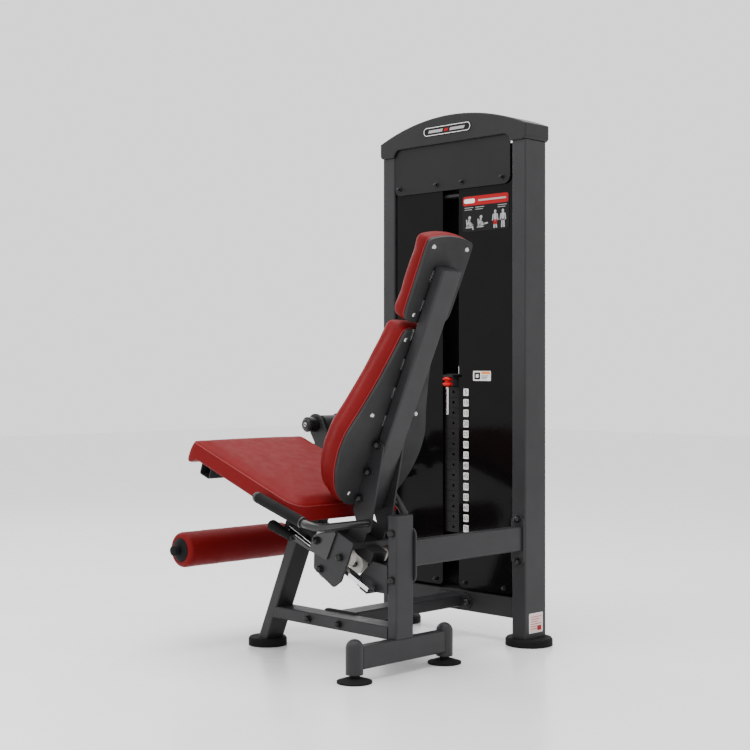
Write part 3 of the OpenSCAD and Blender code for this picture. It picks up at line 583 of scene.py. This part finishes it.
# ---------- printed and small parts ----------
def boxes(name, items, mat, place, body):
    """Several small blocks (u0, u1, v0, v1, w0, w1) as one piece with softened edges."""
    bm = bmesh.new()
    for u0, u1, v0, v1, w0, w1 in items:
        part = prism([(u0, v0), (u1, v0), (u1, v1), (u0, v1)], w0, w1)
        me = bpy.data.meshes.new("part")
        part.to_mesh(me)
        part.free()
        bm.from_mesh(me)
        bpy.data.meshes.remove(me)
    o = to_object(name, bm, mat, place, None, smooth=False)
    b = o.modifiers.new("rim", "BEVEL")
    b.width = 0.2 * MM
    b.segments = 2
    finish_piece(o, body)
    return o


def stadium(l, w, cu, cv):
    return rounded(l, w, w / 2 - 0.01, cu, cv, 12)


def capsule(p, q, r, n=8):
    """Outline of a rounded bar from p to q."""
    a = math.atan2(q[1] - p[1], q[0] - p[0])
    pts = []
    for end, start in ((q, a - math.pi / 2), (p, a + math.pi / 2)):
        for i in range(n + 1):
            t = start + math.pi * i / n
            pts.append((end[0] + r * math.cos(t), end[1] + r * math.sin(t)))
    return pts


def figure(name, cu, cv, size, limbs, mat="print_grey"):
    """Generic pictogram person from rounded bars; limbs are (end, end, radius) in tenths of its height."""
    bm = bmesh.new()
    for p, q, r in limbs:
        k = size / 10
        out = capsule((cu + p[0] * k, cv + p[1] * k), (cu + q[0] * k, cv + q[1] * k), r * k)
        part = prism(out, PLACARD_W, PLACARD_W + 0.25)
        me = bpy.data.meshes.new("part")
        part.to_mesh(me)
        part.free()
        bm.from_mesh(me)
        bpy.data.meshes.remove(me)
    return to_object(name, bm, mat, TOWER_FACE, "root", smooth=False)


# badge on the cap: outline and a plain striped mark
BADGE_U, BADGE_V, BADGE_W = -345.5, 1765.0, 8.0
line = [TOWER_FACE @ Vector((u, v, BADGE_W)) for u, v in resample(stadium(216, 27, BADGE_U, BADGE_V), 4)]
tube("badge_outline", line, 1.3, "label", "root", steps=8)


def slanted(u0, u1, h, lean=5.0):
    low = [(BADGE_U + u0, BADGE_V - h), (BADGE_U + u1, BADGE_V - h)]
    return low + [(BADGE_U + u1 + lean, BADGE_V + h), (BADGE_U + u0 + lean, BADGE_V + h)]


for i, (u0, u1, mat) in enumerate(((-88, -22, "print_grey"), (-14, 4, "print_red"), (12, 80, "print_grey"))):
    slab("badge_mark_%d" % i, slanted(u0, u1, 5.0), BADGE_W - 0.2, BADGE_W + 0.3, mat,
         TOWER_FACE, "root", 0.1)

# exercise placard: red heading band, plain bars and pictogram figures
PLACARD_U, PLACARD_V, PLACARD_W = -182.0, 1463.0, -9.0
BAND_V = PLACARD_V + 44
slab("placard_band", rounded(204, 32, 8, PLACARD_U, BAND_V), PLACARD_W, PLACARD_W + 0.25, "print_red",
     TOWER_FACE, "root", 0.1)
slab("placard_plate", stadium(50, 15, PLACARD_U - 72, BAND_V), PLACARD_W + 0.2, PLACARD_W + 0.5, "label",
     TOWER_FACE, "root", 0.1)
bars = [(PLACARD_U - 32, PLACARD_U + 92, PLACARD_V + 41, PLACARD_V + 47, PLACARD_W + 0.2, PLACARD_W + 0.5)]
for k in (0, 1, 3):
    for j in (0, 1):
        u, v = PLACARD_U + 50 * k, PLACARD_V - 7 * j
        bars.append((u - 95, u - 55 - 6 * j, v + 20, v + 22, PLACARD_W, PLACARD_W + 0.3))
boxes("placard_lines", bars, "print_grey", TOWER_FACE, "root")
SEATED = (((0, 7), (0.2, 7.1), 0.9), ((-0.2, 5.4), (-0.9, 3.0), 0.8), ((-0.9, 2.6), (2.2, 2.9), 0.6),
          ((2.2, 2.9), (2.6, 0.4), 0.45), ((0, 5), (1.2, 3.6), 0.35), ((-2.2, 5.8), (-1.8, 1.6), 0.4),
          ((-2.6, 1.4), (1.6, 1.5), 0.35))
RAISED = SEATED[:3] + (((2.2, 2.9), (4.8, 3.3), 0.45),) + SEATED[4:]
STANDING = (((0, 9.0), (0, 9.2), 0.8), ((0, 7.4), (0, 4.6), 1.05), ((-1.5, 7.4), (-1.9, 4.4), 0.35),
            ((1.5, 7.4), (1.9, 4.4), 0.35), ((-0.6, 4.2), (-0.8, 0.4), 0.5), ((0.6, 4.2), (0.8, 0.4), 0.5))
figure("placard_figure_0", PLACARD_U - 72, PLACARD_V - 56, 60, SEATED)
figure("placard_figure_1", PLACARD_U - 20, PLACARD_V - 56, 60, RAISED)
figure("placard_figure_2", PLACARD_U + 44, PLACARD_V - 56, 62, STANDING)
figure("placard_figure_3", PLACARD_U + 78, PLACARD_V - 56, 62, STANDING)
THIGHS = (((-0.6, 4.2), (-0.75, 2.4), 0.55), ((0.6, 4.2), (0.75, 2.4), 0.55))
PLACARD_W += 0.2
figure("placard_thighs", PLACARD_U + 44, PLACARD_V - 56, 62, THIGHS, "print_red")

# stickers: a notice on the shroud and a rating label on the post
NOTICE_U, NOTICE_V = -198, 903
PRINT_W0, PRINT_W1 = -9.25, -8.95


def notice(name, areas, mat, w0=PRINT_W0, w1=PRINT_W1):
    """Printed areas (u0, u1, v0, v1), measured from the notice's middle."""
    items = []
    for u0, u1, v0, v1 in areas:
        items.append((NOTICE_U + u0, NOTICE_U + u1, NOTICE_V + v0, NOTICE_V + v1, w0, w1))
    boxes(name, items, mat, TOWER_FACE, "root")


notice("notice_strip", [(-2, 37, 6, 15)], "print_orange")
text = [(-2, 30 - 5 * j, -1 - 5 * j, 1 - 5 * j) for j in range(3)]
notice("notice_lines", text + [(-34, -8, -12, 12)], "ink")
notice("notice_sign", [(-27, -15, -6, 6)], "label", -9.0, -8.7)
POST_FACE = TOWER @ Matrix(((1, 0, 0, 0), (0, 0, -1, 0), (0, 1, 0, 0), (0, 0, 0, 1)))
boxes("rating_field", [(22, 90, 45, 107, 0.75, 1.05)], "print_pink", POST_FACE, "root")
lines = [(28, 84 - 9 * (j % 3), 96 - 8 * j, 98 - 8 * j, 1.0, 1.2) for j in range(6)]
boxes("rating_lines", lines + [(62, 84, 50, 66, 1.0, 1.2)], "print_red", POST_FACE, "root")

# numbers on the weight labels, heaviest at the bottom
PLATES, PLATE_PITCH, WEIGHT_STEP = 14, 36.4, 5
LABEL_U, LABEL_V = -271, 373
for i in range(PLATES):
    cur = bpy.data.curves.new("weight_number_%d" % i, "FONT")
    cur.body = str(WEIGHT_STEP * (PLATES - i))
    cur.size, cur.extrude = 21.0, 0.1
    cur.align_x, cur.align_y = "CENTER", "CENTER"
    tmp = bpy.data.objects.new("tmp", cur)
    scene.collection.objects.link(tmp)
    bpy.context.view_layer.update()
    me = bpy.data.meshes.new_from_object(tmp.evaluated_get(bpy.context.evaluated_depsgraph_get()))
    bpy.data.objects.remove(tmp)
    me.transform(TOWER_FACE @ Matrix.Translation((LABEL_U, LABEL_V + PLATE_PITCH * i, -9.1)))
    o = bpy.data.objects.new("weight_number_%d" % i, me)
    scene.collection.objects.link(o)
    me.materials.clear()
    me.materials.append(MAT["ink"])
    finish_piece(o, "root")

# steel shaft of the stowed pin
PIN = TOWER @ Matrix.Translation((-7, 341.5, 883.1))
shaft = [(0, -114.5), (3.4, -114.5), (5.1, -112), (5.1, -24), (5.6, -23), (5.6, -17), (4.4, -17)]
lathe("pin_shaft", shaft, "chrome", PIN @ Matrix.Translation((0, 0, -1.7)), "selector_pin", 32)

# bright edges of the back post's tabs, seen in the gap behind the pads
BACK_SIDE = BACK @ Matrix(((0, 0, -1, 0), (1, 0, 0, 0), (0, 1, 0, 0), (0, 0, 0, 1)))
for side, w in (("near", (34.0, 41.5)), ("far", (-41.5, -34.0))):
    tabs = [(38.4, 43.6, 80 + i * 95, 116 + i * 95, *w) for i in range(8)]
    boxes("tab_edges_" + side, tabs, "zinc", BACK_SIDE, "carriage")

# cap on the near end of the knee shaft's housing
KNEE = sloped(775, 728, 0) @ Matrix(((0, 0, -1, 0), (1, 0, 0, 0), (0, 1, 0, 0), (0, 0, 0, 1)))
cap_pts = [(22.3, -289), (22.5, -284), (19, -280.5), (12, -279), (0, -278.6)]
lathe("knee_cap", cap_pts, "plastic", KNEE, "root")
ring_pts = [(4.2, -279.2), (4.2, -277.8), (7.2, -277.8), (7.4, -279.2)]
lathe("knee_cap_ring", ring_pts, "zinc", KNEE, "root")

# black end knob of the shin roller's axle
knob = [(13, -240.6), (16.6, -241), (17.1, -243), (17.1, -257), (16, -260), (10, -261.4), (0, -261.6)]
lathe("axle_knob", knob, "rubber", SHIN, "knee_lever", 40)

# soft grip over the release lever's end
GRIP = RAIL @ Matrix.Translation((-108, 130.5, -11.6)) @ Matrix.Rotation(math.radians(-95), 4, "X")
GRIP = GRIP @ Matrix.Translation((0, -4.5, 0))
grip = [(9, 1.5), (12.6, 4)]
for i in range(25):
    grip.append((12.9 + 5.0 * (i / 24) ** 1.2 + 0.1 * math.sin(i * 2.3), 8 + 92 * i / 24))
for i in range(1, 10):
    a = math.radians(10 * i)
    grip.append((17.9 * math.cos(a), 100 + 17.6 * math.sin(a)))
lathe("release_grip", grip, "rubber", GRIP, "release_lever", 40)

# ---------- camera ----------
cam_data = bpy.data.cameras.new("camera")
camera = bpy.data.objects.new("camera", cam_data)
scene.collection.objects.link(camera)
cam_data.lens, cam_data.sensor_width = 67.12, 36.0
cam_data.shift_y = -0.0071
camera.location = (-3.2707, -3.2993, 0.9244)
camera.rotation_euler = Vector((0.7049, 0.7094, 0)).to_track_quat("-Z", "Y").to_euler()
scene.camera = camera

# ---------- floor and light ----------
bm = bmesh.new()
bmesh.ops.create_grid(bm, x_segments=8, y_segments=8, size=14)
floor_mat, floor_nt, floor_b = new_material("floor_white", (0.86, 0.86, 0.86), 0.22)
floor_nt.links.new(span(floor_nt, noise(floor_nt, 3.0), 0.2, 0.3), floor_b.inputs["Roughness"])
MAT["floor"] = floor_mat
floor = to_object("floor", bm, "floor", Matrix.Translation((0, 0, -0.0005)), None)

world = bpy.data.worlds.new("studio")
world.use_nodes = True
world.node_tree.nodes["Background"].inputs["Color"].default_value = (1, 1, 1, 1)
world.node_tree.nodes["Background"].inputs["Strength"].default_value = 1.5
scene.world = world


def area(name, loc, target, size, power):
    d = bpy.data.lights.new(name, "AREA")
    d.shape, d.size, d.size_y, d.energy = "RECTANGLE", size[0], size[1], power
    o = bpy.data.objects.new(name, d)
    scene.collection.objects.link(o)
    o.location = loc
    o.rotation_euler = (Vector(target) - Vector(loc)).to_track_quat("-Z", "Y").to_euler()


area("key", (-3.4, 0.9, 3.4), (0, 0, 0.8), (2.0, 2.0), 45)
area("front", (0.4, 4.6, 2.6), (0, 0.2, 0.7), (2.5, 1.8), 40)
area("top", (0.0, 0.0, 4.4), (0, 0, 0), (3.6, 3.6), 190)
